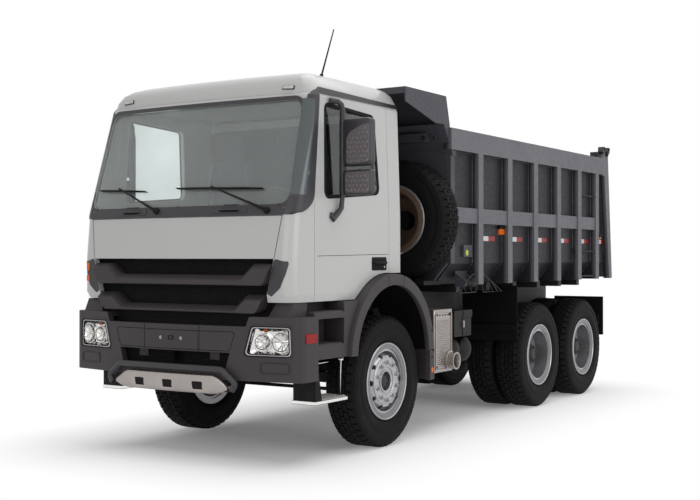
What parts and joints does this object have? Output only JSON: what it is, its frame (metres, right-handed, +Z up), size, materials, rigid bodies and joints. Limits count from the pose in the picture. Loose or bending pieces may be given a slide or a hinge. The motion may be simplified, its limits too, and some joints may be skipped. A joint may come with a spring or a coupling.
{
  "type": "three-axle dump truck",
  "caption": "Cab-over dump truck with a ribbed steel bed that tips to the rear, a top-hung tailgate, steered front wheels, twin rear wheels and an upright spare wheel behind the cab.",
  "frame": {"origin": "on the ground at the middle of the truck's length and width", "axes": "+X forward, +Y to the driver's left, +Z up"},
  "size_m": [7.2526, 2.98, 3.691],
  "materials": {
    "paint": "satin light grey paint",
    "plastic": "grained dark grey plastic",
    "bed_steel": "dark grey painted steel",
    "chassis_black": "black chassis paint",
    "iron": "dark cast iron",
    "tyre": "black rubber",
    "flap": "black rubber sheet",
    "rim": "silver painted wheel",
    "rim_brown": "worn brown wheel",
    "bright": "brushed aluminium",
    "ram": "polished ram",
    "glass": "tinted glass",
    "lamp": "clear lamp",
    "cloth": "dark seat cloth",
    "dash": "dark dashboard"
  },
  "bodies": {
    "chassis": {"frame_rails": "chassis_black", "crossmembers": "chassis_black", "engine_block": "iron", "propshafts": "chassis_black", "front_axle": "chassis_black", "drive_axles": "chassis_black", "leaf_springs": "chassis_black", "cab_floor": "plastic", "cab_rear": "paint", "cab_roof": "paint", "cab_front": "paint", "windscreen": "glass", "cab_trim": "plastic", "seats": "cloth", "dashboard": "dash", "grille": "plastic", "bumper": "plastic", "lamps": "lamp", "skid_bar": "bright", "step_wells": "plastic", "hanging_steps": "bright", "fenders": "plastic", "silencer": "bright", "battery_box": "chassis_black", "fuel_tank": "bright", "spare_tyre": "tyre", "spare_rim": "rim_brown", "spare_carrier": "chassis_black", "mud_flaps": "flap", "antenna": "chassis_black"},
    "knuckle_left": {"knuckle_left": "chassis_black"},
    "knuckle_right": {"knuckle_right": "chassis_black"},
    "tie_rod": {"tie_rod": "chassis_black"},
    "wheels_front_left": {"wheel_front_left": "rim", "tyre_front_left": "tyre"},
    "wheels_front_right": {"wheel_front_right": "rim", "tyre_front_right": "tyre"},
    "wheels_mid_left": {"wheel_mid_left": "rim", "tyre_mid_left": "tyre"},
    "wheels_mid_right": {"wheel_mid_right": "rim", "tyre_mid_right": "tyre"},
    "wheels_rear_left": {"wheel_rear_left": "rim", "tyre_rear_left": "tyre"},
    "wheels_rear_right": {"wheel_rear_right": "rim", "tyre_rear_right": "tyre"},
    "door_left": {"door_left": "paint", "door_glass_left": "glass", "mirror_left": "plastic"},
    "door_right": {"door_right": "paint", "door_glass_right": "glass", "mirror_right": "plastic"},
    "bed": {"bed_floor": "bed_steel", "bed_sides": "bed_steel", "bed_headboard": "bed_steel"},
    "tailgate": {"tailgate": "bed_steel"},
    "hoist_barrels": {"hoist_barrels": "chassis_black"},
    "hoist_stage_1": {"hoist_stage_1": "ram"},
    "hoist_stage_2": {"hoist_stage_2": "ram"},
    "hoist_stage_3": {"hoist_stage_3": "ram"}
  },
  "joints": [
    {"name": "steer_left", "type": "hinge", "parent": "chassis", "child": "knuckle_left", "pos_m": [1.945, 0.865, 0.59], "axis": [0, 0, 1], "range_deg": [-38, 38]},
    {"name": "steer_right", "type": "hinge", "parent": "chassis", "child": "knuckle_right", "pos_m": [1.945, -0.865, 0.59], "axis": [0, 0, 1], "range_deg": [-39, 39]},
    {"name": "tie_rod_slide", "type": "slide", "parent": "chassis", "child": "tie_rod", "axis": [0, 1, 0], "range_m": [-0.18, 0.18]},
    {"name": "spin_front_left", "type": "hinge", "parent": "knuckle_left", "child": "wheels_front_left", "pos_m": [1.945, 1.003, 0.59], "axis": [0, 1, 0], "continuous": true},
    {"name": "spin_front_right", "type": "hinge", "parent": "knuckle_right", "child": "wheels_front_right", "pos_m": [1.945, -1.003, 0.59], "axis": [0, 1, 0], "continuous": true},
    {"name": "spin_mid_left", "type": "hinge", "parent": "chassis", "child": "wheels_mid_left", "pos_m": [-1.355, 0.883, 0.59], "axis": [0, 1, 0], "continuous": true},
    {"name": "spin_mid_right", "type": "hinge", "parent": "chassis", "child": "wheels_mid_right", "pos_m": [-1.355, -0.883, 0.59], "axis": [0, 1, 0], "continuous": true},
    {"name": "spin_rear_left", "type": "hinge", "parent": "chassis", "child": "wheels_rear_left", "pos_m": [-2.705, 0.883, 0.59], "axis": [0, 1, 0], "continuous": true},
    {"name": "spin_rear_right", "type": "hinge", "parent": "chassis", "child": "wheels_rear_right", "pos_m": [-2.705, -0.883, 0.59], "axis": [0, 1, 0], "continuous": true},
    {"name": "door_left_hinge", "type": "hinge", "parent": "chassis", "child": "door_left", "pos_m": [3.1, 1.15, 2.19], "axis": [0, 0, -1], "range_deg": [0, 75]},
    {"name": "door_right_hinge", "type": "hinge", "parent": "chassis", "child": "door_right", "pos_m": [3.1, -1.15, 2.19], "axis": [0, 0, 1], "range_deg": [0, 75]},
    {"name": "bed_tilt", "type": "hinge", "parent": "chassis", "child": "bed", "pos_m": [-3.255, 0, 1.115], "axis": [0, -1, 0], "range_deg": [0, 45]},
    {"name": "tailgate_hinge", "type": "hinge", "parent": "bed", "child": "tailgate", "pos_m": [-3.417, 0, 3.03], "axis": [0, 1, 0], "range_deg": [0, 60]},
    {"name": "hoist_swing", "type": "hinge", "parent": "chassis", "child": "hoist_barrels", "pos_m": [-0.805, 0, 0.52], "axis": [0, -1, 0], "range_deg": [0, 23]},
    {"name": "hoist_slide_1", "type": "slide", "parent": "hoist_barrels", "child": "hoist_stage_1", "axis": [0.0624, 0, 0.9981], "range_m": [0, 0.64]},
    {"name": "hoist_slide_2", "type": "slide", "parent": "hoist_stage_1", "child": "hoist_stage_2", "axis": [0.0624, 0, 0.9981], "range_m": [0, 0.64]},
    {"name": "hoist_slide_3", "type": "slide", "parent": "hoist_stage_2", "child": "hoist_stage_3", "axis": [0.0624, 0, 0.9981], "range_m": [0, 0.64]}
  ],
  "couplings": [
    {"joint": "steer_right", "follows": "steer_left", "ratio": 1},
    {"joint": "tie_rod_slide", "follows": "steer_left", "m_per_rad": -0.26},
    {"joint": "hoist_swing", "follows": "bed_tilt", "ratio": 0.482},
    {"joint": "hoist_slide_1", "follows": "bed_tilt", "m_per_rad": 0.79445},
    {"joint": "hoist_slide_2", "follows": "bed_tilt", "m_per_rad": 0.79445},
    {"joint": "hoist_slide_3", "follows": "bed_tilt", "m_per_rad": 0.79445}
  ]
}
